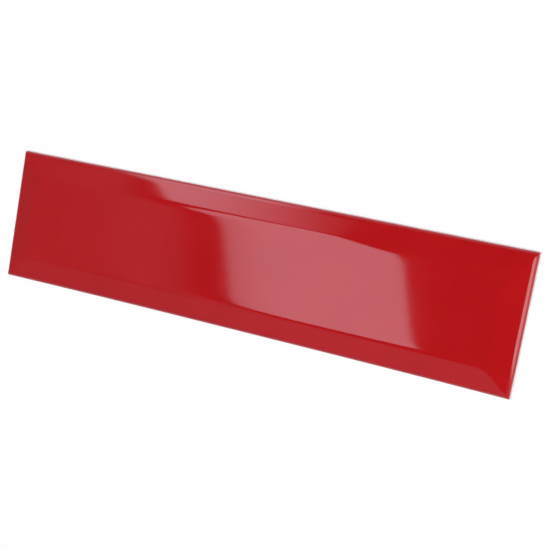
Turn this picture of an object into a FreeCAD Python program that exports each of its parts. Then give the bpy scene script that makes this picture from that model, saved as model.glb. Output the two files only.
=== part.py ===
# Bevelled wall tile, long and narrow, of glazed ceramic, pressed and fired in one piece.
# Millimetres. X runs along the tile, Y across it and Z out of its face.
# The origin is the middle of the flat back: the back lies on Z = 0 and the face looks up.
import FreeCAD, Part
import math
import os

import Sketcher
from FreeCAD import Vector

# Name, value, what it sets
SIZES = [
    ("tile_length", "300", "long side of the tile"),
    ("tile_width", "75", "short side of the tile"),
    ("tile_thickness", "8", "back to the flat middle of the face"),
    ("side_draft", "10", "slope of the sides in degrees, so that the foot is the widest part"),
    ("bevel_width", "12", "how far each bevel cuts into the flat top of the blank"),
    ("bevel_drop", "3", "how far each bevel cuts down the side of the blank"),
    ("crease_radius", "16", "soft crease where a bevel leaves the flat face"),
    ("mitre_radius", "6", "softening of the ridge where two bevels meet"),
    ("arris_radius", "3.8", "rounding of the glazed edge above each side"),
    ("foot_chamfer", "0.5", "small chamfer round the back"),
    ("key_columns", "10", "shallow recesses along the back"),
    ("key_rows", "4", "shallow recesses across the back"),
    ("key_border", "7", "plain rim of the back outside the recesses"),
    ("key_rib", "2", "rib left between two recesses"),
    ("key_depth", "0.5", "how deep each recess goes"),
    ("key_corner", "1.5", "corner radius of each recess"),
    ("key_draft", "30", "slope of the recess walls in degrees, so the press lets go"),
]

doc = FreeCAD.newDocument("BevelledTile")
sheet = doc.addObject("Spreadsheet::Sheet", "Sizes")
for row, (alias, value, meaning) in enumerate(SIZES, start=1):
    sheet.set(f"A{row}", alias)
    sheet.set(f"B{row}", value)
    sheet.setAlias(f"B{row}", alias)
    sheet.set(f"C{row}", meaning)
doc.recompute()

# A recess is as long and as wide as the rim and the ribs leave room for.
RECESS_LENGTH = (
    "(Sizes.tile_length - 2 * Sizes.key_border - (Sizes.key_columns - 1) * Sizes.key_rib)"
    " / Sizes.key_columns"
)
RECESS_WIDTH = (
    "(Sizes.tile_width - 2 * Sizes.key_border - (Sizes.key_rows - 1) * Sizes.key_rib)"
    " / Sizes.key_rows"
)

# The sides slope, and the chamfer under them takes off their widest line,
# so the blank starts wider by what the slope gains over the chamfer.
FLARE = "Sizes.foot_chamfer * sin(Sizes.side_draft)"

# The two ends of a sketch line, and a sketch's own origin
START, END = 1, 2
SKETCH_ORIGIN = (-1, 1)

# Tolerance for telling where an edge lies
CLOSE = 1e-4


def size(alias):
    """The value of one named size, in millimetres."""
    return float(sheet.get(alias))


def base_plane(body, role):
    """One of the body's own base planes, such as XY_Plane."""
    return next(plane for plane in body.Origin.OriginFeatures if plane.Role == role)


def flat_sketch(body, name):
    """Adds a sketch on the body's base plane, seen from above."""
    sketch = body.newObject("Sketcher::SketchObject", name)
    sketch.AttachmentSupport = (base_plane(body, "XY_Plane"), "")
    sketch.MapMode = "FlatFace"
    return sketch


def driven(sketch, kind, geometry, name, expression):
    """Adds a size to a sketch and ties it to the named values."""
    index = sketch.addConstraint(Sketcher.Constraint(kind, *geometry, 1.0))
    sketch.renameConstraint(index, name)
    sketch.setExpression(f"Constraints.{name}", expression)


def draw_rectangle(sketch, left, bottom, right, top, corner=0.0):
    """Draws level and upright sides 0 to 3, anticlockwise from the lower side.

    With a corner radius, arcs 4 to 7 join them; otherwise they meet at their ends.
    """
    sides = [
        (Vector(left + corner, bottom), Vector(right - corner, bottom)),
        (Vector(right, bottom + corner), Vector(right, top - corner)),
        (Vector(right - corner, top), Vector(left + corner, top)),
        (Vector(left, top - corner), Vector(left, bottom + corner)),
    ]
    for start, end in sides:
        sketch.addGeometry(Part.LineSegment(start, end))
    for side, kind in enumerate(("Horizontal", "Vertical", "Horizontal", "Vertical")):
        sketch.addConstraint(Sketcher.Constraint(kind, side))
    if not corner:
        for side in range(4):
            following = (side + 1) % 4
            sketch.addConstraint(Sketcher.Constraint("Coincident", side, END, following, START))
        return
    centres = [
        Vector(right - corner, bottom + corner),
        Vector(right - corner, top - corner),
        Vector(left + corner, top - corner),
        Vector(left + corner, bottom + corner),
    ]
    for side, centre in enumerate(centres):
        circle = Part.Circle(centre, Vector(0, 0, 1), corner)
        begin = (side - 1) * math.pi / 2
        arc = sketch.addGeometry(Part.ArcOfCircle(circle, begin, begin + math.pi / 2))
        sketch.addConstraint(Sketcher.Constraint("Tangent", side, END, arc, START))
    for side in range(4):
        arc = 4 + side
        sketch.addConstraint(Sketcher.Constraint("Tangent", arc, END, (side + 1) % 4, START))
        if side:
            sketch.addConstraint(Sketcher.Constraint("Equal", 4, arc))


def edges_where(shape, test):
    """Names the edges whose two ends and middle all pass the test."""
    names = []
    for number, edge in enumerate(shape.Edges, start=1):
        first, last = edge.ParameterRange
        points = [edge.valueAt(value) for value in (first, (first + last) / 2, last)]
        if all(test(point) for point in points):
            names.append(f"Edge{number}")
    return names


side_draft = math.radians(size("side_draft"))
flare = size("foot_chamfer") * math.sin(side_draft)
half_length = size("tile_length") / 2 + flare
half_width = size("tile_width") / 2 + flare
face_level = size("tile_thickness")
edge_level = face_level - size("bevel_drop") * math.cos(side_draft)


def on_face(point):
    """True where a point lies on the flat middle of the face."""
    return abs(point.z - face_level) < CLOSE


def on_side(point):
    """True where a point lies on one of the four sloping sides."""
    inset = point.z * math.tan(side_draft)
    past_end = abs(point.x) - (half_length - inset)
    past_side = abs(point.y) - (half_width - inset)
    return abs(past_end) < CLOSE or abs(past_side) < CLOSE


def on_upper_side(point):
    """True where a point lies in the upper half of one of the four sides."""
    return on_side(point) and point.z > edge_level / 2


def on_back_rim(point):
    """True where a point lies on the outer edge of the back."""
    return on_side(point) and abs(point.z) < CLOSE


def upright_faces(shape):
    """Names the four faces that stand upright."""
    names = []
    for number, face in enumerate(shape.Faces, start=1):
        if abs(face.normalAt(0, 0).z) < CLOSE:
            names.append(f"Face{number}")
    return names


def ridge_edges(shape):
    """Names the edges that climb from a corner of the tile towards the face."""
    names = []
    for number, edge in enumerate(shape.Edges, start=1):
        heights = sorted(vertex.Z for vertex in edge.Vertexes)
        if abs(heights[0] - edge_level) < CLOSE and heights[-1] > heights[0] + CLOSE:
            names.append(f"Edge{number}")
    return names


tile = doc.addObject("PartDesign::Body", "Tile")
tile.Label = "bevelled_tile"

# The pressed blank, full size up to the level of the flat face
outline = flat_sketch(tile, "Outline")
draw_rectangle(outline, -half_length, -half_width, half_length, half_width)
outline.addConstraint(Sketcher.Constraint("Symmetric", 0, START, 1, END, *SKETCH_ORIGIN))
driven(outline, "DistanceX", (0, START, 0, END), "length", f"Sizes.tile_length + 2 * {FLARE}")
driven(outline, "DistanceY", (1, START, 1, END), "width", f"Sizes.tile_width + 2 * {FLARE}")

block = tile.newObject("PartDesign::Pad", "Block")
block.Profile = outline
block.setExpression("Length", "Sizes.tile_thickness")
doc.recompute()

# The sides lean inwards from the foot, so that the tile leaves its die.
blank = tile.newObject("PartDesign::Draft", "Blank")
blank.Base = (block, upright_faces(block.Shape))
blank.NeutralPlane = (base_plane(tile, "XY_Plane"), [""])
blank.setExpression("Angle", "Sizes.side_draft")
doc.recompute()

# Four long shallow bevels, mitred at the corners
bevels = tile.newObject("PartDesign::Chamfer", "Bevels")
bevels.Base = (blank, edges_where(blank.Shape, on_face))
bevels.ChamferType = "Two distances"
bevels.setExpression("Size", "Sizes.bevel_drop")
bevels.setExpression("Size2", "Sizes.bevel_width")
doc.recompute()

# The creases round the flat middle are soft, as the thick glaze leaves them.
creases = tile.newObject("PartDesign::Fillet", "Creases")
creases.Base = (bevels, edges_where(bevels.Shape, on_face))
creases.setExpression("Radius", "Sizes.crease_radius")
doc.recompute()

# The ridges between the bevels run down to the four corners.
ridges = tile.newObject("PartDesign::Fillet", "Ridges")
ridges.Base = (creases, ridge_edges(creases.Shape))
ridges.setExpression("Radius", "Sizes.mitre_radius")
doc.recompute()

# Glaze rounds the edge above each side.
arrises = tile.newObject("PartDesign::Fillet", "Arrises")
arrises.Base = (ridges, edges_where(ridges.Shape, on_upper_side))
arrises.setExpression("Radius", "Sizes.arris_radius")
doc.recompute()

# The die leaves a small chamfer round the back.
foot = tile.newObject("PartDesign::Chamfer", "Foot")
foot.Base = (arrises, edges_where(arrises.Shape, on_back_rim))
foot.setExpression("Size", "Sizes.foot_chamfer")
doc.recompute()

# One shallow recess with round corners, the first of the grid that keys the back
recess = flat_sketch(tile, "Recess")
left = size("key_border") - size("tile_length") / 2
bottom = size("key_border") - size("tile_width") / 2
columns = size("key_columns")
rows = size("key_rows")
recess_length = (-2 * left - (columns - 1) * size("key_rib")) / columns
recess_width = (-2 * bottom - (rows - 1) * size("key_rib")) / rows
draw_rectangle(
    recess, left, bottom, left + recess_length, bottom + recess_width, size("key_corner")
)
driven(recess, "Radius", (4,), "corner", "Sizes.key_corner")
driven(recess, "DistanceX", (3, START, 1, START), "length", RECESS_LENGTH)
driven(recess, "DistanceY", (0, START, 2, START), "width", RECESS_WIDTH)
driven(
    recess,
    "DistanceX",
    (3, START, *SKETCH_ORIGIN),
    "from_middle",
    "Sizes.tile_length / 2 - Sizes.key_border",
)
driven(
    recess,
    "DistanceY",
    (0, START, *SKETCH_ORIGIN),
    "below_middle",
    "Sizes.tile_width / 2 - Sizes.key_border",
)

key = tile.newObject("PartDesign::Pocket", "Key")
key.Profile = recess
key.Reversed = True
key.setExpression("Length", "Sizes.key_depth")
key.setExpression("TaperAngle", "-Sizes.key_draft")
doc.recompute()

# The grid leaves a rib along each of the tile's own centre lines.
grid = tile.newObject("PartDesign::LinearPattern", "KeyGrid")
grid.Originals = [key]
grid.Direction = (recess, ["H_Axis"])
grid.setExpression("Length", f"Sizes.tile_length - 2 * Sizes.key_border - {RECESS_LENGTH}")
grid.setExpression("Occurrences", "Sizes.key_columns")
grid.Direction2 = (recess, ["V_Axis"])
grid.setExpression("Length2", f"Sizes.tile_width - 2 * Sizes.key_border - {RECESS_WIDTH}")
grid.setExpression("Occurrences2", "Sizes.key_rows")
tile.Tip = grid
doc.recompute()

for item in doc.Objects:
    if {"Invalid", "Error"} & set(item.State):
        raise RuntimeError(f"{item.Name} failed: {item.State}")
for hollow, before in ((key, foot), (grid, key)):
    if hollow.Shape.Volume >= before.Shape.Volume - CLOSE:
        raise RuntimeError(f"{hollow.Name} cuts nothing")
if tile.Shape.isNull() or not tile.Shape.isValid() or len(tile.Shape.Solids) != 1:
    raise RuntimeError(f"{tile.Label} is not one sound solid")

os.makedirs("parts", exist_ok=True)
tile.Shape.exportStep(f"parts/{tile.Label}.step")
print(f"{tile.Label}: {tile.Shape.Volume / 1000:.1f} cubic centimetres")
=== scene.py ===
"""Bevelled wall tile: one pressed ceramic piece with a deep red gloss glaze, lying flat on a pale studio floor.

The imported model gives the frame. The glazed tile is modelled again here at the same size, with soft creases, a fine
bow in its front side, a wandering glaze line and a ribbed bare back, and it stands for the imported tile.
"""

import logging
import math
from dataclasses import dataclass, field
from enum import Enum
from typing import Callable, Optional, Sequence

import bmesh
import bpy
from mathutils import Matrix, Vector


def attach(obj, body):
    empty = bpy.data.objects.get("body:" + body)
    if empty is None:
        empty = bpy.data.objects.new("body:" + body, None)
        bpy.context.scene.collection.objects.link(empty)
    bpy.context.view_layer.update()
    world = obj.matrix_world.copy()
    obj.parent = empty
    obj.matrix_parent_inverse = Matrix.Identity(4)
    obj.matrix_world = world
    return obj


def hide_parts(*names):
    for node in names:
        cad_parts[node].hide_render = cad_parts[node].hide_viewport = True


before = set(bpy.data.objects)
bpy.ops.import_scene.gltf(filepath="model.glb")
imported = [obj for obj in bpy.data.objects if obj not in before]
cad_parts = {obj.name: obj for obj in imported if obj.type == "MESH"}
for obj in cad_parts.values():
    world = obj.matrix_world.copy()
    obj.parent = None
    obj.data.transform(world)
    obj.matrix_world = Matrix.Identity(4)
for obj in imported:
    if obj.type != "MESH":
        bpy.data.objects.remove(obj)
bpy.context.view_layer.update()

log = logging.getLogger("bevelled_tile")
MM = 0.001
TIGHT = 1e-6
SMOOTH_STEP = (0.3, 0.7)
Colour = tuple[float, float, float]
Place = tuple[float, float, float]
Span = tuple[float, float]


# ---------------------------------------------------------------------------------------------- modelling helpers

def only(obj: bpy.types.Object) -> None:
    """Makes one object the only one selected, and the active one.

    Args:
        obj: The object to work on.
    """
    bpy.ops.object.select_all(action="DESELECT")
    obj.select_set(True)
    bpy.context.view_layer.objects.active = obj


def pick_faces(obj: bpy.types.Object, test: Callable[[bmesh.types.BMFace], bool]) -> int:
    """Selects the faces that pass a test, and nothing else.

    Args:
        obj: An object in edit mode.
        test: Says whether a face is wanted.

    Returns:
        How many faces are selected.
    """
    bpy.ops.mesh.select_mode(type="FACE")
    bpy.ops.mesh.select_all(action="DESELECT")
    mesh = bmesh.from_edit_mesh(obj.data)
    wanted = [face for face in mesh.faces if test(face)]
    for face in wanted:
        face.select_set(True)
    bmesh.update_edit_mesh(obj.data)
    return len(wanted)


def pick_edges(obj: bpy.types.Object, test: Callable[[Vector, Vector], bool]) -> int:
    """Selects the edges whose two ends pass a test, and nothing else.

    Args:
        obj: An object in edit mode.
        test: Says whether an edge is wanted, from the places of its ends.

    Returns:
        How many edges are selected.
    """
    bpy.ops.mesh.select_mode(type="EDGE")
    bpy.ops.mesh.select_all(action="DESELECT")
    mesh = bmesh.from_edit_mesh(obj.data)
    wanted = [edge for edge in mesh.edges if test(edge.verts[0].co, edge.verts[1].co)]
    for edge in wanted:
        edge.select_set(True)
    bmesh.update_edit_mesh(obj.data)
    return len(wanted)


def pick_points(obj: bpy.types.Object, test: Callable[[Vector], bool]) -> int:
    """Selects the points that pass a test, and nothing else.

    Args:
        obj: An object in edit mode.
        test: Says whether a point is wanted, from its place.

    Returns:
        How many points are selected.
    """
    bpy.ops.mesh.select_mode(type="VERT")
    bpy.ops.mesh.select_all(action="DESELECT")
    mesh = bmesh.from_edit_mesh(obj.data)
    wanted = [point for point in mesh.verts if test(point.co)]
    for point in wanted:
        point.select_set(True)
    bmesh.update_edit_mesh(obj.data)
    return len(wanted)


def round_profile(turn: float) -> float:
    """Gives the bevel profile that draws a circular arc across an edge.

    Args:
        turn: The angle in radians by which the surface turns at the edge.

    Returns:
        The profile value of the bevel.
    """
    return (1.0 - 0.5 / (1.0 + math.cos(turn / 2.0))) ** 2


# ------------------------------------------------------------------------------------------------ shader helpers

class Shader:
    """Adds nodes to a node tree and joins them by socket name."""

    def __init__(self, tree: bpy.types.NodeTree) -> None:
        """Keeps the tree that is worked on."""
        self.tree = tree

    def add(self, kind: str, settings: Optional[dict] = None, **inputs: object) -> bpy.types.Node:
        """Adds a node.

        Args:
            kind: The node's type name.
            settings: Properties of the node itself.
            **inputs: A value or an output socket for each input, with _ for a space in its name.

        Returns:
            The new node.
        """
        node = self.tree.nodes.new(kind)
        for name, value in (settings or {}).items():
            setattr(node, name, value)
        for name, value in inputs.items():
            self.put(node.inputs[name.replace("_", " ")], value)
        return node

    def put(self, socket: bpy.types.NodeSocket, value: object) -> None:
        """Sets a socket, or links an output to it.

        Args:
            socket: The input socket.
            value: A plain value, or the output socket that feeds it.
        """
        if isinstance(value, bpy.types.NodeSocket):
            self.tree.links.new(value, socket)
        else:
            socket.default_value = value

    def maths(self, operation: str, *values: object, clamp: bool = False) -> bpy.types.NodeSocket:
        """Adds a Math node.

        Args:
            operation: The node's operation.
            *values: Its numbers or sockets, in order.
            clamp: Whether the result is kept from 0 to 1.

        Returns:
            The result's socket.
        """
        node = self.add("ShaderNodeMath", {"operation": operation, "use_clamp": clamp})
        for socket, value in zip(node.inputs, values):
            self.put(socket, value)
        return node.outputs[0]

    def ramp(self, value: object, low: float, high: float,
             start: object = 0.0, end: object = 1.0) -> bpy.types.NodeSocket:
        """Adds a smooth step.

        Args:
            value: The number that is stepped on.
            low: Where the step starts.
            high: Where it ends.
            start: The result before the step.
            end: The result after it.

        Returns:
            The result's socket.
        """
        settings = {"interpolation_type": "SMOOTHSTEP"}
        inputs = {"Value": value, "From_Min": low, "From_Max": high, "To_Min": start, "To_Max": end}
        return self.add("ShaderNodeMapRange", settings, **inputs).outputs["Result"]

    def noise(self, place: object, scale: float, detail: float = 2.0, rough: float = 0.5) -> bpy.types.NodeSocket:
        """Adds a noise and gives its value, from 0 to 1.

        Args:
            place: The vector that it reads.
            scale: How many of its waves there are to a metre.
            detail: How many finer octaves it has.
            rough: How strong those are.

        Returns:
            The value's socket.
        """
        inputs = {"Vector": place, "Scale": scale, "Detail": detail, "Roughness": rough}
        return self.add("ShaderNodeTexNoise", **inputs).outputs["Fac"]

    def blend(self, factor: object, first: object, second: object) -> bpy.types.NodeSocket:
        """Mixes two colours.

        Args:
            factor: How much of the second there is.
            first: A colour or socket.
            second: A colour or socket.

        Returns:
            The colour's socket.
        """
        node = self.add("ShaderNodeMix", {"data_type": "RGBA"})
        self.put(node.inputs[0], factor)
        self.put(node.inputs[6], first)
        self.put(node.inputs[7], second)
        return node.outputs[2]

    def mixed(self, factor: object, first: object, second: object) -> bpy.types.NodeSocket:
        """Mixes two shaders.

        Args:
            factor: How much of the second there is.
            first: The first shader's socket.
            second: The second shader's socket.

        Returns:
            The mixed shader's socket.
        """
        node = self.add("ShaderNodeMixShader")
        for socket, value in zip(node.inputs, (factor, first, second)):
            self.put(socket, value)
        return node.outputs["Shader"]

    def sided(self, place: object) -> tuple[bpy.types.NodeSocket, ...]:
        """Gives the three parts of a vector."""
        return tuple(self.add("ShaderNodeSeparateXYZ", Vector=place).outputs)


def opaque(colour: Colour, share: float = 1.0) -> tuple[float, float, float, float]:
    """Gives a colour with full alpha, scaled by a share."""
    return (colour[0] * share, colour[1] * share, colour[2] * share, 1.0)


def new_material(name: str) -> tuple[bpy.types.Material, Shader, bpy.types.Node]:
    """Makes an empty node material.

    Args:
        name: The material's name.

    Returns:
        The material, its shader and its output node.
    """
    material = bpy.data.materials.new(name)
    material.use_nodes = True
    material.node_tree.nodes.clear()
    shader = Shader(material.node_tree)
    return material, shader, shader.add("ShaderNodeOutputMaterial")


@dataclass(frozen=True)
class ClayGrain:
    """The fine grain of a dry-pressed, fired body, as a node group for each bare or half-bare surface."""

    name: str = "clay_grain"
    grain_scale: float = 1900.0
    fleck_scale: float = 620.0
    fleck_edge: Span = (0.10, 0.20)
    fleck_share: float = 0.5
    fleck_depth: float = 0.3
    cloud_scale: float = 42.0
    cloud_edge: Span = (0.35, 0.70)
    cloud_share: float = 0.45
    speckle_edge: Span = (0.50, 0.62)

    def group(self) -> bpy.types.NodeTree:
        """Builds the group once and then gives it again.

        Returns:
            A group from a place and two clay colours to a colour and a height.
        """
        if self.name in bpy.data.node_groups:
            return bpy.data.node_groups[self.name]
        tree = bpy.data.node_groups.new(self.name, "ShaderNodeTree")
        tree.interface.new_socket("Place", in_out="INPUT", socket_type="NodeSocketVector")
        tree.interface.new_socket("Pale", in_out="INPUT", socket_type="NodeSocketColor")
        tree.interface.new_socket("Dark", in_out="INPUT", socket_type="NodeSocketColor")
        tree.interface.new_socket("Colour", in_out="OUTPUT", socket_type="NodeSocketColor")
        tree.interface.new_socket("Height", in_out="OUTPUT", socket_type="NodeSocketFloat")
        shader = Shader(tree)
        given = shader.add("NodeGroupInput")
        result = shader.add("NodeGroupOutput")
        grain = shader.noise(given.outputs["Place"], self.grain_scale, 3.0, 0.6)
        cloud = shader.noise(given.outputs["Place"], self.cloud_scale, 4.0, 0.55)
        cells = shader.add("ShaderNodeTexVoronoi", Vector=given.outputs["Place"], Scale=self.fleck_scale)
        fleck = shader.ramp(cells.outputs["Distance"], *self.fleck_edge, 1.0, 0.0)
        soft = shader.maths("MULTIPLY", shader.ramp(cloud, *self.cloud_edge), self.cloud_share)
        speckle = shader.maths("MULTIPLY", fleck, shader.ramp(grain, *self.speckle_edge))
        amount = shader.maths("ADD", soft, shader.maths("MULTIPLY", speckle, self.fleck_share), clamp=True)
        shader.put(result.inputs["Colour"], shader.blend(amount, given.outputs["Pale"], given.outputs["Dark"]))
        pits = shader.maths("MULTIPLY", fleck, self.fleck_depth)
        shader.put(result.inputs["Height"], shader.maths("SUBTRACT", grain, pits))
        return tree


@dataclass(frozen=True)
class Body:
    """The bare fired body: a pale cream clay with a dry, finely grained surface."""

    name: str = "fired_body"
    pale: Colour = (0.93, 0.77, 0.75)
    dark: Colour = (0.76, 0.59, 0.56)
    roughness: float = 0.86
    roughness_sway: float = 0.06
    grain_depth: float = 0.03 * MM
    grain: ClayGrain = ClayGrain()

    def clay(self, shader: Shader, place: bpy.types.NodeSocket) -> bpy.types.Node:
        """Adds the clay's grain to a material.

        Args:
            shader: The material's shader.
            place: The place on the piece.

        Returns:
            The group's node, with the outputs Colour and Height.
        """
        settings = {"node_tree": self.grain.group()}
        return shader.add("ShaderNodeGroup", settings, Place=place, Pale=opaque(self.pale), Dark=opaque(self.dark))

    def material(self) -> bpy.types.Material:
        """Builds the finish.

        Returns:
            The material.
        """
        material, shader, output = new_material(self.name)
        place = shader.add("ShaderNodeTexCoord").outputs["Object"]
        clay = self.clay(shader, place)
        bump = shader.add("ShaderNodeBump", Height=clay.outputs["Height"], Distance=self.grain_depth, Strength=1.0)
        smoother, rougher = self.roughness - self.roughness_sway, self.roughness + self.roughness_sway
        rough = shader.ramp(clay.outputs["Height"], 0.2, 0.8, smoother, rougher)
        inputs = {"Base_Color": clay.outputs["Colour"], "Roughness": rough, "Normal": bump.outputs["Normal"]}
        surface = shader.add("ShaderNodeBsdfPrincipled", IOR=1.5, **inputs)
        shader.put(output.inputs["Surface"], surface.outputs["BSDF"])
        return material


@dataclass(frozen=True)
class Glaze:
    """The deep red gloss glaze, which ends in a wandering line part of the way down the sides."""

    name: str = "red_gloss_glaze"
    deep: Colour = (0.455, 0.0070, 0.0086)
    full: Colour = (0.475, 0.0086, 0.0104)
    # pinker red of the thinner glaze, darkened as painted shade for the dark reflection on the lower arris
    thin_red_with_painted_shade: Colour = (0.430, 0.062, 0.066)
    cloud_scale: float = 34.0
    roughness: float = 0.055
    roughness_sway: float = 0.008
    sheen_scale: float = 120.0
    line_height: float = 2.9 * MM
    line_wander: float = 0.4 * MM
    line_softness: float = 0.6 * MM
    wander_scale: float = 95.0
    thin_shade_top: float = 4.8 * MM
    thin_shade_share: float = 0.30
    peel_scale: float = 260.0
    peel_depth: float = 0.0009 * MM
    sway_scale: float = 26.0
    sway_depth: float = 0.010 * MM
    crease_half: Span = (138.0 * MM, 25.5 * MM)
    crease_spread: float = 3.6 * MM
    crease_relief: float = 0.065 * MM
    body: Body = Body()

    def cover(self, shader: Shader, place: bpy.types.NodeSocket) -> bpy.types.NodeSocket:
        """Gives where the glaze lies, down to its wandering lower line.

        Args:
            shader: The material's shader.
            place: The place on the piece.

        Returns:
            The mask's socket, 1 on the glaze and 0 on the bare body.
        """
        wander = shader.maths("SUBTRACT", shader.noise(place, self.wander_scale, 3.0, 0.6), 0.5)
        drop = shader.maths("MULTIPLY", wander, -2.0 * self.line_wander)
        level = shader.maths("ADD", shader.sided(place)[2], drop)
        return shader.ramp(level, self.line_height - self.line_softness, self.line_height + self.line_softness)

    def colour(self, shader: Shader, place: bpy.types.NodeSocket) -> bpy.types.NodeSocket:
        """Gives the red of the glaze, faintly clouded. Towards its lower line it turns a pinker red for the thinner
        glaze, and that red is darkened there as painted shade for the dark reflection along the lower arris.

        Args:
            shader: The material's shader.
            place: The place on the piece.

        Returns:
            The colour's socket.
        """
        clouds = shader.ramp(shader.noise(place, self.cloud_scale, 3.0, 0.5), *SMOOTH_STEP)
        red = shader.blend(clouds, opaque(self.deep), opaque(self.full))
        # painted shade: towards the glaze line the red blends into the thin colour, which also stands in for the dark
        # reflection on the lower arris
        thinning_and_painted_shade = shader.ramp(shader.sided(place)[2], self.line_height, self.thin_shade_top, self.thin_shade_share, 0.0)
        return shader.blend(thinning_and_painted_shade, red, opaque(self.thin_red_with_painted_shade))

    def crease_fall(self, shader: Shader, place: bpy.types.NodeSocket) -> bpy.types.NodeSocket:
        """Gives how near the creases a point of the flat face is, where the glaze settles lower.

        Args:
            shader: The material's shader.
            place: The place on the piece.

        Returns:
            The share's socket, 1 at the creases and on the bevels, and falling to 0 on the flat face.
        """
        outside = [shader.maths("SUBTRACT", shader.maths("ABSOLUTE", part), half)
                   for part, half in zip(shader.sided(place), self.crease_half)]
        inwards = shader.maths("MINIMUM", shader.maths("MAXIMUM", *outside), 0.0)
        inwards = shader.maths("DIVIDE", inwards, self.crease_spread)
        square = shader.maths("MULTIPLY", inwards, inwards)
        return shader.maths("EXPONENT", shader.maths("MULTIPLY", square, -1.0))

    def material(self) -> bpy.types.Material:
        """Builds the finish.

        Returns:
            The material.
        """
        material, shader, output = new_material(self.name)
        place = shader.add("ShaderNodeTexCoord").outputs["Object"]
        cover = self.cover(shader, place)
        clay = self.body.clay(shader, place)
        colour = shader.blend(cover, clay.outputs["Colour"], self.colour(shader, place))
        smoother, rougher = self.roughness - self.roughness_sway, self.roughness + self.roughness_sway
        sheen = shader.ramp(shader.noise(place, self.sheen_scale), *SMOOTH_STEP, smoother, rougher)
        rough = shader.add("ShaderNodeMapRange", Value=cover, To_Min=self.body.roughness, To_Max=sheen)
        peel = shader.maths("MULTIPLY", shader.noise(place, self.peel_scale, 1.0, 0.4), self.peel_depth)
        sway = shader.maths("MULTIPLY", shader.noise(place, self.sway_scale, 0.0, 0.4), self.sway_depth)
        grain = shader.maths("MULTIPLY", clay.outputs["Height"], self.body.grain_depth)
        bare = shader.maths("MULTIPLY", grain, shader.maths("SUBTRACT", 1.0, cover))
        relief = shader.maths("ADD", shader.maths("ADD", peel, sway), bare)
        relief = shader.maths("MULTIPLY_ADD", self.crease_fall(shader, place), -self.crease_relief, relief)
        bump = shader.add("ShaderNodeBump", Height=relief, Distance=1.0, Strength=1.0)
        inputs = {"Base_Color": colour, "Roughness": rough.outputs["Result"], "Normal": bump.outputs["Normal"]}
        surface = shader.add("ShaderNodeBsdfPrincipled", IOR=1.5, **inputs)
        shader.put(output.inputs["Surface"], surface.outputs["BSDF"])
        return material


# ------------------------------------------------------------------------------------------------------ the tile

class Zone(Enum):
    """The two zones of the tile's surface, by material slot."""

    GLAZED = 0
    BARE = 1


@dataclass
class KeyedBack:
    """The grid of shallow recesses in the back, which leaves ribs for the adhesive to grip."""

    columns: int = 10
    rows: int = 4
    length: float = 26.8 * MM
    width: float = 13.75 * MM
    rib: float = 2.0 * MM
    depth: float = 0.5 * MM
    corner: float = 1.5 * MM
    corner_steps: int = 5
    draft: float = math.radians(30.0)
    overcut: float = 0.25 * MM

    def cutter(self) -> bpy.types.Object:
        """Models one recess as a solid and repeats it over the back.

        Returns:
            The object that is cut from the tile.
        """
        size = (self.length, self.width, self.overcut)
        bpy.ops.object.select_all(action="DESELECT")
        bpy.ops.mesh.primitive_cube_add(size=1.0, location=(0.0, 0.0, -self.overcut / 2.0), scale=size)
        tool = bpy.context.object
        bpy.ops.object.transform_apply(location=True, rotation=True, scale=True)
        bpy.ops.object.mode_set(mode="EDIT")
        pick_edges(tool, lambda a, b: abs(a.z - b.z) > TIGHT)
        bpy.ops.mesh.bevel(offset=self.corner, segments=self.corner_steps, profile=0.5, affect="EDGES")
        pick_faces(tool, lambda face: face.normal.z > 0.9)
        bpy.ops.mesh.extrude_region_move(TRANSFORM_OT_translate={"value": (0.0, 0.0, self.depth)})
        shrink = 2.0 * self.depth * math.tan(self.draft)
        bpy.ops.transform.resize(value=(1.0 - shrink / self.length, 1.0 - shrink / self.width, 1.0))
        bpy.ops.object.mode_set(mode="OBJECT")
        for name, count, step in (("columns", self.columns, Vector((self.length + self.rib, 0.0, 0.0))),
                                  ("rows", self.rows, Vector((0.0, self.width + self.rib, 0.0)))):
            array = tool.modifiers.new(name, "ARRAY")
            array.count = count
            array.use_relative_offset = False
            array.use_constant_offset = True
            array.constant_offset_displace = step
            bpy.ops.object.modifier_apply(modifier=name)
            tool.data.transform(Matrix.Translation(-step * (count - 1) / 2.0))
        return tool

    def cut(self, tile: bpy.types.Object) -> None:
        """Cuts the recesses into the back of the tile.

        Args:
            tile: The tile's object.
        """
        tool = self.cutter()
        only(tile)
        hollow = tile.modifiers.new("key", "BOOLEAN")
        hollow.operation = "DIFFERENCE"
        hollow.solver = "EXACT"
        hollow.object = tool
        bpy.ops.object.modifier_apply(modifier="key")
        bpy.data.objects.remove(tool)


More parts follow.
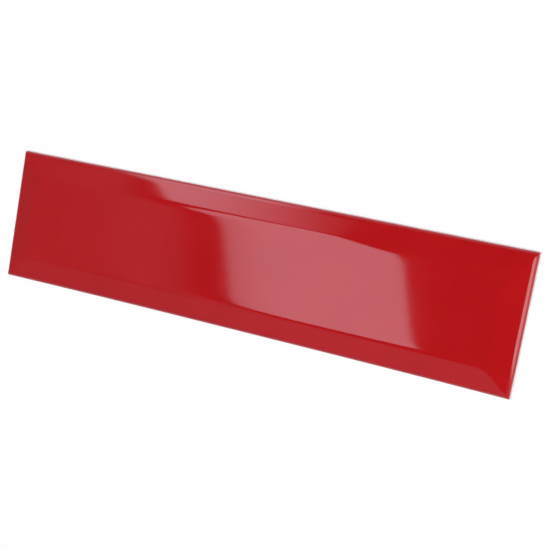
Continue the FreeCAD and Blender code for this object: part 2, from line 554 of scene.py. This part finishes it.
@dataclass
class BevelledTile:
    """The tile itself: leaning sides, four wide bevels round a flat face, soft creases and a ribbed back."""

    name: str = "glazed_tile"
    length: float = 300.0 * MM
    width: float = 75.0 * MM
    thickness: float = 8.0 * MM
    side_draft: float = math.radians(10.0)
    bevel_width: float = 12.0 * MM
    bevel_drop: float = 3.0 * MM
    crease_radius: float = 16.0 * MM
    crease_steps: int = 22
    mitre_radius: float = 6.0 * MM
    mitre_spread: float = 25.0 * MM
    mitre_steps: int = 10
    arris_radius: float = 3.8 * MM
    arris_steps: int = 14
    corner_share: float = 0.40
    foot: float = 0.5 * MM
    bow: float = 0.59 * MM
    bow_reach: float = 117.0 * MM
    smooth_angle: float = math.radians(24.0)
    rings: Sequence[float] = (0.32, 0.42, 0.52, 0.62, 0.72, 0.82, 1.0)
    columns: Sequence[float] = (24.0, 42.0, 58.0, 72.0, 84.0, 95.0, 105.0, 114.0, 122.0, 129.0)
    back: KeyedBack = field(default_factory=KeyedBack)
    glaze: Glaze = field(default_factory=Glaze)
    body: Body = field(default_factory=Body)

    def __post_init__(self) -> None:
        """Works out the section's points from the named sizes."""
        flare = self.foot * math.sin(self.side_draft)
        lean = math.tan(self.side_draft)
        self.base_half = Vector((self.length / 2.0 + flare, self.width / 2.0 + flare))
        self.edge_height = self.thickness - self.bevel_drop * math.cos(self.side_draft)
        self.edge_half = self.base_half - Vector((1.0, 1.0)) * self.edge_height * lean
        inset = self.thickness * lean + self.bevel_width
        self.face_half = self.base_half - Vector((1.0, 1.0)) * inset
        rise = self.thickness - self.edge_height
        self.bevel_angle = math.atan2(rise, self.edge_half.x - self.face_half.x)
        facing = Vector((math.sin(self.bevel_angle), 0.0, math.cos(self.bevel_angle)))
        self.mitre_turn = math.acos(facing.dot(Vector((0.0, facing.x, facing.z))))
        self.arris_turn = math.pi / 2.0 - self.side_draft - self.bevel_angle

    def blank(self) -> bpy.types.Object:
        """Models the leaning sides and the four bevels, with sharp edges.

        Returns:
            The tile's object.
        """
        half = self.edge_height / 2.0
        size = (self.base_half.x, self.base_half.y, half)
        bpy.ops.object.select_all(action="DESELECT")
        bpy.ops.mesh.primitive_cube_add(size=2.0, location=(0.0, 0.0, half), scale=size)
        tile = bpy.context.object
        tile.name = tile.data.name = self.name
        bpy.ops.object.transform_apply(location=True, rotation=True, scale=True)
        bpy.ops.object.mode_set(mode="EDIT")
        pick_faces(tile, lambda face: face.normal.z > 0.9)
        lean = (self.edge_half.x / self.base_half.x, self.edge_half.y / self.base_half.y, 1.0)
        bpy.ops.transform.resize(value=lean)
        rise = self.thickness - self.edge_height
        passed, outer = 0.0, self.edge_half
        for share in self.rings:
            inner = self.edge_half.lerp(self.face_half, share)
            bpy.ops.mesh.extrude_region_move(TRANSFORM_OT_translate={"value": (0.0, 0.0, rise * (share - passed))})
            bpy.ops.transform.resize(value=(inner.x / outer.x, inner.y / outer.y, 1.0))
            passed, outer = share, inner
        bpy.ops.object.mode_set(mode="OBJECT")
        return tile

    def round_level(self, tile: bpy.types.Object, level: float, offset: float, turn: float, steps: int) -> None:
        """Rounds the four edges that run round the tile at one height.

        Args:
            tile: The tile's object, in edit mode.
            level: The height of the edges.
            offset: How far the rounding reaches along the faces beside the edge.
            turn: The angle by which the surface turns there.
            steps: How many facets the rounding has.
        """
        pick_edges(tile, lambda a, b: abs(a.z - level) < TIGHT and abs(b.z - level) < TIGHT)
        bpy.ops.mesh.bevel(offset=offset, offset_type="OFFSET", segments=steps, profile=round_profile(turn),
                           affect="EDGES", clamp_overlap=False, loop_slide=True)

    def soften(self, tile: bpy.types.Object) -> None:
        """Rounds the creases, the outer edges and the foot, each as a ring round the tile.

        Args:
            tile: The tile's object.
        """
        only(tile)
        bpy.ops.object.mode_set(mode="EDIT")
        crease = self.crease_radius * math.tan(self.bevel_angle / 2.0)
        self.round_level(tile, self.thickness, crease, self.bevel_angle, self.crease_steps)
        arris = self.arris_radius * math.tan(self.arris_turn / 2.0)
        self.round_level(tile, self.edge_height, arris, self.arris_turn, self.arris_steps)
        self.round_level(tile, 0.0, self.foot, math.pi / 2.0, 1)
        bpy.ops.object.mode_set(mode="OBJECT")

    def mitre_share(self, height: float) -> float:
        """Gives how wide the rounding of a corner is at a height, as a share of its widest.

        Args:
            height: The height above the back.

        Returns:
            The share, which is small up the corner, grows over the outer edge and opens out along the mitre.
        """
        reach = self.arris_radius * math.tan(self.arris_turn / 2.0)
        edge_foot = self.edge_height - reach * math.cos(self.side_draft)
        edge_top = self.edge_height + reach * math.sin(self.bevel_angle)
        start = self.mitre_radius / self.mitre_spread
        if height < edge_top:
            climb = min(1.0, max(0.0, (height - edge_foot) / (edge_top - edge_foot)))
            return start * (self.corner_share + (1.0 - self.corner_share) * climb)
        crease = self.crease_radius * math.tan(self.bevel_angle / 2.0)
        mitre_top = self.thickness - crease * math.sin(self.bevel_angle)
        return start + (1.0 - start) * min(1.0, (height - edge_top) / (mitre_top - edge_top))

    def soften_mitres(self, tile: bpy.types.Object) -> None:
        """Rounds the mitre lines, and on from them the upright corners, more finely.

        Args:
            tile: The tile's object.
        """
        only(tile)
        spread = self.face_half.x - self.face_half.y
        slack = 20.0 * TIGHT
        mesh = tile.data
        weights = mesh.attributes.new("bevel_weight_edge", "FLOAT", "EDGE")
        for edge in mesh.edges:
            start, end = (mesh.vertices[index].co for index in edge.vertices)
            one_corner = start.x * end.x > 0.0 and start.y * end.y > 0.0
            if one_corner and abs(abs(start.x) - abs(start.y) - spread) < slack:
                weights.data[edge.index].value = self.mitre_share((start.z + end.z) / 2.0)
        mitre = tile.modifiers.new("mitres", "BEVEL")
        mitre.limit_method = "WEIGHT"
        mitre.width = self.mitre_spread * math.tan(self.mitre_turn / 2.0)
        mitre.segments = self.mitre_steps
        mitre.profile = round_profile(self.mitre_turn)
        mitre.use_clamp_overlap = False
        mitre.loop_slide = True
        bpy.ops.object.modifier_apply(modifier="mitres")

    def bow_in(self, reach: float) -> float:
        """Gives how far the front side is bowed in at a place along the tile.

        Args:
            reach: The distance from the tile's middle, along it.

        Returns:
            The distance inwards.
        """
        share = min(1.0, max(0.0, (self.length / 2.0 - reach) / self.bow_reach))
        return self.bow * (1.0 - (1.0 - share) ** 2)

    def bow_front(self, tile: bpy.types.Object) -> None:
        """Divides the tile along its length and moves its front side in, as the kiln left it.

        Args:
            tile: The tile's object.
        """
        only(tile)
        front = -self.face_half.y * 0.8
        bpy.ops.object.mode_set(mode="EDIT")
        for place in sorted({side * step * MM for step in self.columns for side in (-1.0, 1.0)} | {0.0}):
            bpy.ops.mesh.select_mode(type="FACE")
            bpy.ops.mesh.select_all(action="SELECT")
            bpy.ops.mesh.bisect(plane_co=(place, 0.0, 0.0), plane_no=(1.0, 0.0, 0.0))
        mesh = bmesh.from_edit_mesh(tile.data)
        places = sorted({round(point.co.x, 6) for point in mesh.verts if point.co.y < front})
        for place in places:
            shift = self.bow_in(abs(place))
            if shift > TIGHT:
                pick_points(tile, lambda co: abs(co.x - place) < TIGHT and co.y < front)
                bpy.ops.transform.translate(value=(0.0, shift, 0.0))
        bpy.ops.object.mode_set(mode="OBJECT")

    def dress(self, tile: bpy.types.Object) -> None:
        """Gives the surface its two zones and its smooth normals.

        Args:
            tile: The tile's object.
        """
        only(tile)
        tile.data.materials.clear()
        tile.data.materials.append(self.glaze.material())
        tile.data.materials.append(self.body.material())
        foot_top = self.foot + TIGHT
        for face in tile.data.polygons:
            low = max(tile.data.vertices[index].co.z for index in face.vertices) < foot_top
            face.material_index = (Zone.BARE if low else Zone.GLAZED).value
        bpy.ops.object.shade_smooth_by_angle(angle=self.smooth_angle)
        normals = tile.modifiers.new("normals", "WEIGHTED_NORMAL")
        normals.keep_sharp = True
        normals.weight = 100
        bpy.ops.object.modifier_apply(modifier="normals")

    def build(self) -> bpy.types.Object:
        """Builds the tile and puts it in the frame.

        Returns:
            The finished piece.
        """
        tile = self.blank()
        self.soften(tile)
        self.soften_mitres(tile)
        self.bow_front(tile)
        self.back.cut(tile)
        self.dress(tile)
        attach(tile, "root")
        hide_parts("bevelled_tile")
        return tile


# ---------------------------------------------------------------------------------------------------- the studio

@dataclass
class Lamp:
    """A flat studio lamp that faces the tile."""

    name: str
    towards: Place
    distance: float
    width: float
    height: float
    radiance: float
    mirrored: bool = True

    def build(self) -> bpy.types.Object:
        """Places the lamp.

        Returns:
            The lamp's object.
        """
        way = Vector(self.towards).normalized()
        bpy.ops.object.select_all(action="DESELECT")
        bpy.ops.object.light_add(type="AREA", location=way * self.distance)
        lamp = bpy.context.object
        lamp.name = self.name
        lamp.rotation_euler = way.to_track_quat("Z", "Y").to_euler()
        lamp.data.shape = "RECTANGLE"
        lamp.data.size = self.width
        lamp.data.size_y = self.height
        lamp.data.energy = self.radiance * math.pi * self.width * self.height
        lamp.visible_glossy = self.mirrored
        lamp.visible_camera = False
        return lamp


@dataclass
class Softbox:
    """A glowing cloth that the glaze shows, with four straight sides, each of which fades out over its own width.

    The corners run near left, near right, far right, far left on the cloth's own plane, and the fades belong to the
    sides that start at them: near, right, far and left.
    """

    name: str
    corners: tuple[Span, ...]
    fades: tuple[float, float, float, float]
    radiance: float
    place: Place = (0.0, 0.0, 1.2)
    tip: float = 0.0
    rounding: float = 0.0
    dim: float = 0.0
    dim_reach: float = 0.1
    tint: Colour = (1.0, 1.0, 1.16)

    def inside(self, shader: Shader, side: int, x: object, y: object) -> bpy.types.NodeSocket:
        """Gives how far inside one side a point of the cloth is.

        Args:
            shader: The cloth's shader.
            side: The side's number.
            x: The point's place across.
            y: The point's place along.

        Returns:
            The distance's socket.
        """
        start, end = Vector(self.corners[side]), Vector(self.corners[(side + 1) % 4])
        inward = Vector((start.y - end.y, end.x - start.x)).normalized()
        across = shader.maths("MULTIPLY_ADD", x, inward.x, -inward.dot(start))
        return shader.maths("MULTIPLY_ADD", y, inward.y, across)

    def material(self) -> bpy.types.Material:
        """Builds the glowing cloth.

        Returns:
            The material.
        """
        material, shader, output = new_material(self.name)
        x, y, _ = shader.sided(shader.add("ShaderNodeTexCoord").outputs["Object"])
        reaches = [self.inside(shader, side, x, y) for side in range(4)]
        cover, squares = 1.0, 0.0
        for reach, fade in zip(reaches, self.fades):
            cover = shader.maths("MULTIPLY", shader.ramp(reach, -fade / 2.0, fade / 2.0), cover)
            short = shader.maths("MAXIMUM", shader.maths("SUBTRACT", self.rounding - fade / 2.0, reach), 0.0)
            squares = shader.maths("MULTIPLY_ADD", short, short, squares)
        if self.rounding:
            depth = shader.maths("SUBTRACT", self.rounding, shader.maths("SQRT", squares))
            cover = shader.maths("MULTIPLY", shader.ramp(depth, 0.0, min(self.fades)), cover)
        glow = shader.ramp(reaches[3], 0.0, self.dim_reach, (1.0 - self.dim) * self.radiance, self.radiance)
        cloth = shader.add("ShaderNodeEmission", Color=opaque(self.tint), Strength=glow)
        clear = shader.add("ShaderNodeBsdfTransparent")
        surface = shader.mixed(cover, clear.outputs["BSDF"], cloth.outputs["Emission"])
        shader.put(output.inputs["Surface"], surface)
        return material

    def build(self) -> bpy.types.Object:
        """Places the softbox.

        Returns:
            Its object.
        """
        bpy.ops.object.select_all(action="DESELECT")
        bpy.ops.mesh.primitive_plane_add(size=2.0, location=self.place, rotation=(self.tip, 0.0, 0.0))
        cloth = bpy.context.object
        cloth.name = self.name
        margin = max(self.fades) / 2.0
        across, along = zip(*self.corners)
        for point in cloth.data.vertices:
            x = max(across) + margin if point.co.x > 0.0 else min(across) - margin
            y = max(along) + margin if point.co.y > 0.0 else min(along) - margin
            point.co = (x, y, 0.0)
        cloth.data.materials.append(self.material())
        cloth.visible_camera = False
        return cloth


@dataclass(frozen=True)
class Room:
    """The dim room that the glaze shows: grey to the left and to the front, dark overhead and to the right.

    Each span is where an edge lies on a plane one metre over the tile, and each level is how bright the room is
    beyond that edge. To the camera the room is white.
    """

    tint: Colour = (1.0, 1.0, 1.2)
    gloom: float = 0.015
    lowest: float = 0.02
    wall_slant: float = 0.22
    wall_shift: float = 0.0286
    wall_edge: Span = (-0.502, -0.449)
    wall_level: float = 0.285
    far_wall_edge: Span = (-0.627, -0.531)
    far_wall_loss: float = 0.095
    front_edge: Span = (-0.56, -0.47)
    front_level: float = 0.355
    front_fade: Span = (-0.9, -0.4)
    front_shares: Span = (0.74, 1.08)
    right_edge: Span = (0.5, 1.2)
    right_level: float = 0.15
    back_edge: Span = (1.2, 2.5)
    back_level: float = 0.15

    def glow(self, shader: Shader) -> bpy.types.NodeSocket:
        """Gives how bright the room is in each direction.

        Args:
            shader: The world's shader.

        Returns:
            The strength's socket.
        """
        x, y, z = shader.sided(shader.add("ShaderNodeTexCoord").outputs["Generated"])
        up = shader.maths("MAXIMUM", z, self.lowest)
        across = shader.maths("DIVIDE", x, up)
        along = shader.maths("DIVIDE", y, up)
        shifted = shader.maths("ADD", across, self.wall_shift)
        slant = shader.maths("MULTIPLY_ADD", along, self.wall_slant, shifted)
        wall = shader.ramp(slant, *self.wall_edge, self.wall_level, 0.0)
        wall = shader.maths("SUBTRACT", wall, shader.ramp(slant, *self.far_wall_edge, self.far_wall_loss, 0.0))
        front = shader.ramp(along, *self.front_edge, self.front_level, 0.0)
        front = shader.maths("MULTIPLY", front, shader.ramp(across, *self.front_fade, *self.front_shares))
        right = shader.ramp(across, *self.right_edge, 0.0, self.right_level)
        back = shader.ramp(along, *self.back_edge, 0.0, self.back_level)
        sides = shader.maths("MAXIMUM", wall, front)
        return shader.maths("ADD", shader.maths("MAXIMUM", sides, shader.maths("MAXIMUM", right, back)), self.gloom)

    def build(self) -> bpy.types.World:
        """Builds the room as the scene's world.

        Returns:
            The world.
        """
        world = bpy.data.worlds.new("studio_room")
        bpy.context.scene.world = world
        world.use_nodes = True
        world.node_tree.nodes.clear()
        shader = Shader(world.node_tree)
        output = shader.add("ShaderNodeOutputWorld")
        room = shader.add("ShaderNodeBackground", Color=opaque(self.tint), Strength=self.glow(shader))
        white = shader.add("ShaderNodeBackground", Color=(1.0, 1.0, 1.0, 1.0), Strength=1.0)
        seen = shader.add("ShaderNodeLightPath").outputs["Is Camera Ray"]
        surface = shader.mixed(seen, room.outputs["Background"], white.outputs["Background"])
        shader.put(output.inputs["Surface"], surface)
        return world


@dataclass
class Studio:
    """The pale floor, the lamps and the dim room that the glaze shows."""

    floor_colour: Colour = (0.98, 0.98, 0.98)
    floor_bounce: Colour = (0.75, 0.75, 0.76)
    floor_glow: float = 0.95
    floor_drop: float = 0.05 * MM
    floor_size: float = 12.0
    lamps: Sequence[Lamp] = (
        Lamp("right_lamp", (0.895, -0.067, 0.425), 1.1, 0.230, 0.85, 3.8),
        Lamp("back_lamp", (0.354, 0.612, 0.707), 1.2, 0.50, 0.80, 5.0, mirrored=False),
        Lamp("front_lamp", (0.394, -0.630, 0.669), 1.2, 0.50, 0.80, 4.2, mirrored=False),
        Lamp("left_lamp", (-0.90, 0.0, 0.42), 1.8, 0.8, 0.8, 0.9, mirrored=False),
    )
    softboxes: Sequence[Softbox] = (
        Softbox("softbox_near", ((-0.4244, -0.4524), (-0.1119, -0.3443), (-0.3420, 0.4300), (-0.6444, 0.2750)),
                (0.03, 0.012, 0.03, 0.028), 2.78, rounding=0.13, dim=0.24, dim_reach=0.09),
        Softbox("softbox_far", ((-0.7350, 0.4550), (-0.4600, 0.4550), (-0.6260, 1.25), (-0.973, 1.25)),
                (0.060, 0.44, 0.02, 0.07), 2.95, rounding=0.27),
        Softbox("softbox_back", ((-0.746, 0.05), (-0.404, 0.05), (-0.569, 1.2), (-0.97, 1.2)),
                (0.10, 0.18, 0.02, 0.12), 2.95, place=(0.0, 1.3, 0.0), tip=math.pi / 2.0),
    )
    room: Room = Room()

    def floor(self) -> bpy.types.Object:
        """Lays the floor, which is white to the camera and keeps the tile's shadow.

        Returns:
            The floor's object.
        """
        bpy.ops.object.select_all(action="DESELECT")
        bpy.ops.mesh.primitive_plane_add(size=self.floor_size, location=(0.0, 0.0, -self.floor_drop))
        floor = bpy.context.object
        floor.name = "studio_floor"
        material, shader, output = new_material("floor_white")
        seen = shader.add("ShaderNodeLightPath").outputs["Is Camera Ray"]
        colour = shader.blend(seen, opaque(self.floor_bounce), opaque(self.floor_colour))
        matt = shader.add("ShaderNodeBsdfDiffuse", Color=colour)
        glow = shader.add("ShaderNodeEmission", Color=(1.0, 1.0, 1.0, 1.0), Strength=1.0)
        share = shader.maths("MULTIPLY", seen, self.floor_glow)
        surface = shader.mixed(share, matt.outputs["BSDF"], glow.outputs["Emission"])
        shader.put(output.inputs["Surface"], surface)
        floor.data.materials.append(material)
        return floor

    def build(self) -> None:
        """Sets up the floor, the lamps, the softboxes and the room."""
        self.floor()
        for lamp in self.lamps:
            lamp.build()
        for softbox in self.softboxes:
            softbox.build()
        self.room.build()
        bpy.context.scene.view_settings.view_transform = "Standard"


@dataclass
class ViewCamera:
    """The camera, at the place and angle from which the tile is seen."""

    place: Place = (0.19957, 0.06340, 0.50304)
    across: Place = (0.917106, 0.175146, -0.358106)
    upward: Place = (-0.207056, 0.976921, -0.052465)
    backward: Place = (0.340653, 0.122264, 0.932206)
    lens: float = 65.751

    def build(self) -> bpy.types.Object:
        """Places the camera and makes it the scene's.

        Returns:
            The camera's object.
        """
        bpy.ops.object.select_all(action="DESELECT")
        bpy.ops.object.camera_add(location=self.place)
        camera = bpy.context.object
        camera.name = "view_camera"
        turn = Matrix((self.across, self.upward, self.backward)).transposed()
        camera.rotation_euler = turn.to_euler()
        camera.data.lens = self.lens
        camera.data.sensor_width = 36.0
        camera.data.clip_start = 0.01
        camera.data.clip_end = 50.0
        bpy.context.scene.camera = camera
        return camera


def main() -> None:
    """Builds the camera, the tile and the studio in order, and reports the camera and the tile."""
    logging.basicConfig(level=logging.INFO, format="%(name)s: %(message)s")
    camera = ViewCamera().build()
    log.info("camera %s, lens %.2f mm", camera.name, camera.data.lens)
    tile = BevelledTile().build()
    log.info("%s: %d faces, %d points", tile.name, len(tile.data.polygons), len(tile.data.vertices))
    Studio().build()


if __name__ == "__main__":
    main()
